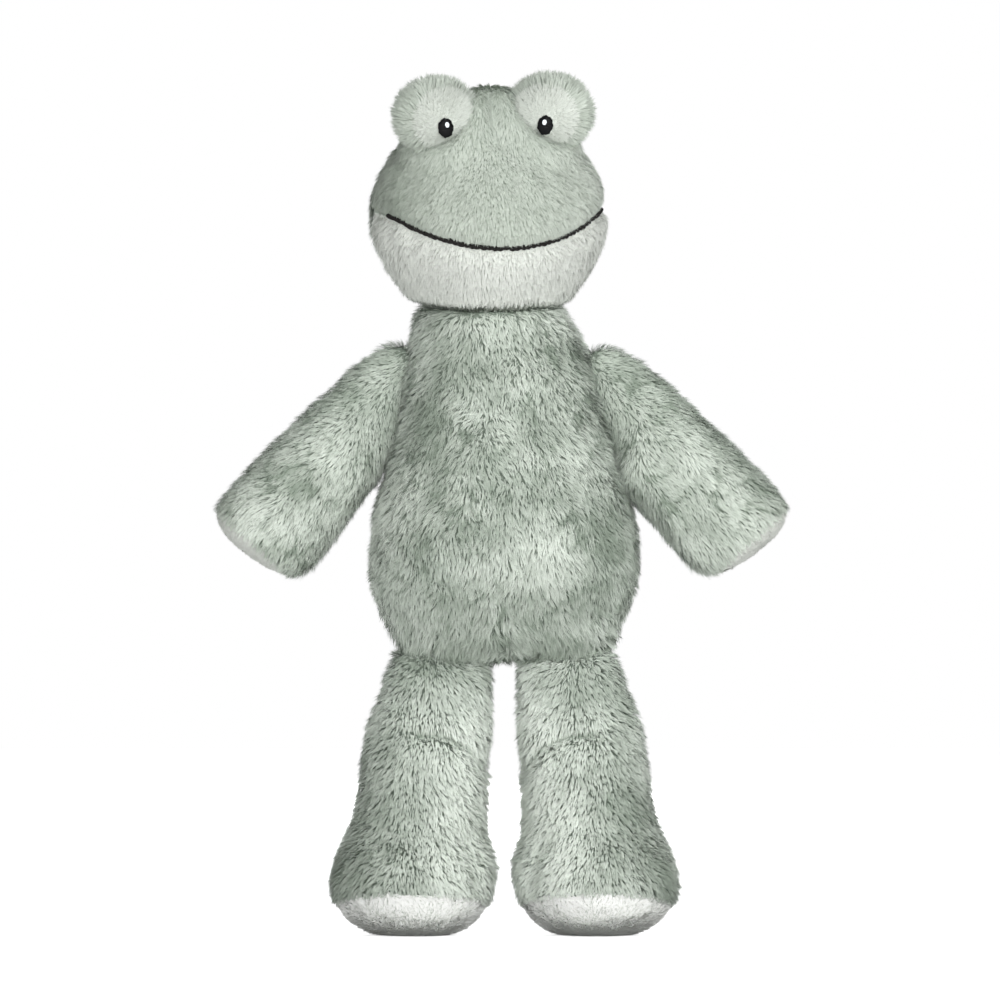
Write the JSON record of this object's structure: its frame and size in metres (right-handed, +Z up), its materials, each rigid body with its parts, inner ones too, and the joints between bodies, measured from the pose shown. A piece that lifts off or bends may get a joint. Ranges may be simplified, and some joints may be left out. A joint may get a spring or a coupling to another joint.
{
  "type": "plush frog",
  "caption": "Upright stuffed frog toy of long-pile fur cloth with raised eye bulges, a wide stitched mouth, flat-soled feet and floppy sewn-on limbs.",
  "frame": {"origin": "centre of the bounding box on the floor plane under the soles", "axes": "+Z up, +X to the right in the picture, the face looks towards -Y"},
  "size_m": [0.2184, 0.0826, 0.3274],
  "materials": {
    "tipped_plush": "long pile, matt",
    "face_plush": "short pile, matt",
    "pale_plush": "short pile, matt",
    "fibre_fill": "loose fibre, matt",
    "black_thread": "satin stitch",
    "white_thread": "satin stitch",
    "grey_thread": "twisted thread, matt"
  },
  "bodies": {
    "torso": {"torso_front_panel": "tipped_plush", "torso_back_panel": "tipped_plush", "torso_stuffing": "fibre_fill"},
    "head": {"head_face_panel": "face_plush", "head_jaw_panel": "pale_plush", "head_back_panel": "tipped_plush", "head_stuffing": "fibre_fill", "mouth_stitch": "grey_thread", "eye_front_panel_left": "pale_plush", "eye_back_panel_left": "tipped_plush", "eye_stuffing_left": "fibre_fill", "pupil_left": "black_thread", "highlight_left": "white_thread", "eye_front_panel_right": "pale_plush", "eye_back_panel_right": "tipped_plush", "eye_stuffing_right": "fibre_fill", "pupil_right": "black_thread", "highlight_right": "white_thread"},
    "arm_left": {"arm_front_panel_left": "tipped_plush", "arm_back_panel_left": "tipped_plush", "paw_pad_left": "pale_plush", "arm_stuffing_left": "fibre_fill"},
    "arm_right": {"arm_front_panel_right": "tipped_plush", "arm_back_panel_right": "tipped_plush", "paw_pad_right": "pale_plush", "arm_stuffing_right": "fibre_fill"},
    "leg_left": {"leg_front_panel_left": "tipped_plush", "leg_back_panel_left": "tipped_plush", "sole_pad_left": "pale_plush", "leg_stuffing_left": "fibre_fill"},
    "leg_right": {"leg_front_panel_right": "tipped_plush", "leg_back_panel_right": "tipped_plush", "sole_pad_right": "pale_plush", "leg_stuffing_right": "fibre_fill"}
  },
  "joints": [
    {"name": "neck_turn", "type": "hinge", "parent": "torso", "child": "head", "pos_m": [-0.0046, 0.0039, 0.23711], "axis": [-0.0349, 0, 0.9994], "range_deg": [-60, 40]},
    {"name": "shoulder_left", "type": "hinge", "parent": "torso", "child": "arm_left", "pos_m": [-0.04209, 0.0039, 0.20513], "axis": [0.1957, 0, 0.9807], "range_deg": [-50, 50]},
    {"name": "shoulder_right", "type": "hinge", "parent": "torso", "child": "arm_right", "pos_m": [0.03972, 0.0039, 0.20571], "axis": [0.3119, 0, -0.9501], "range_deg": [-50, 50]},
    {"name": "hip_left", "type": "hinge", "parent": "torso", "child": "leg_left", "pos_m": [-0.0236, 0.0039, 0.101], "axis": [-1, 0, 0], "range_deg": [-60, 85]},
    {"name": "hip_right", "type": "hinge", "parent": "torso", "child": "leg_right", "pos_m": [0.0236, 0.0039, 0.101], "axis": [-1, 0, 0], "range_deg": [-60, 85]}
  ]
}
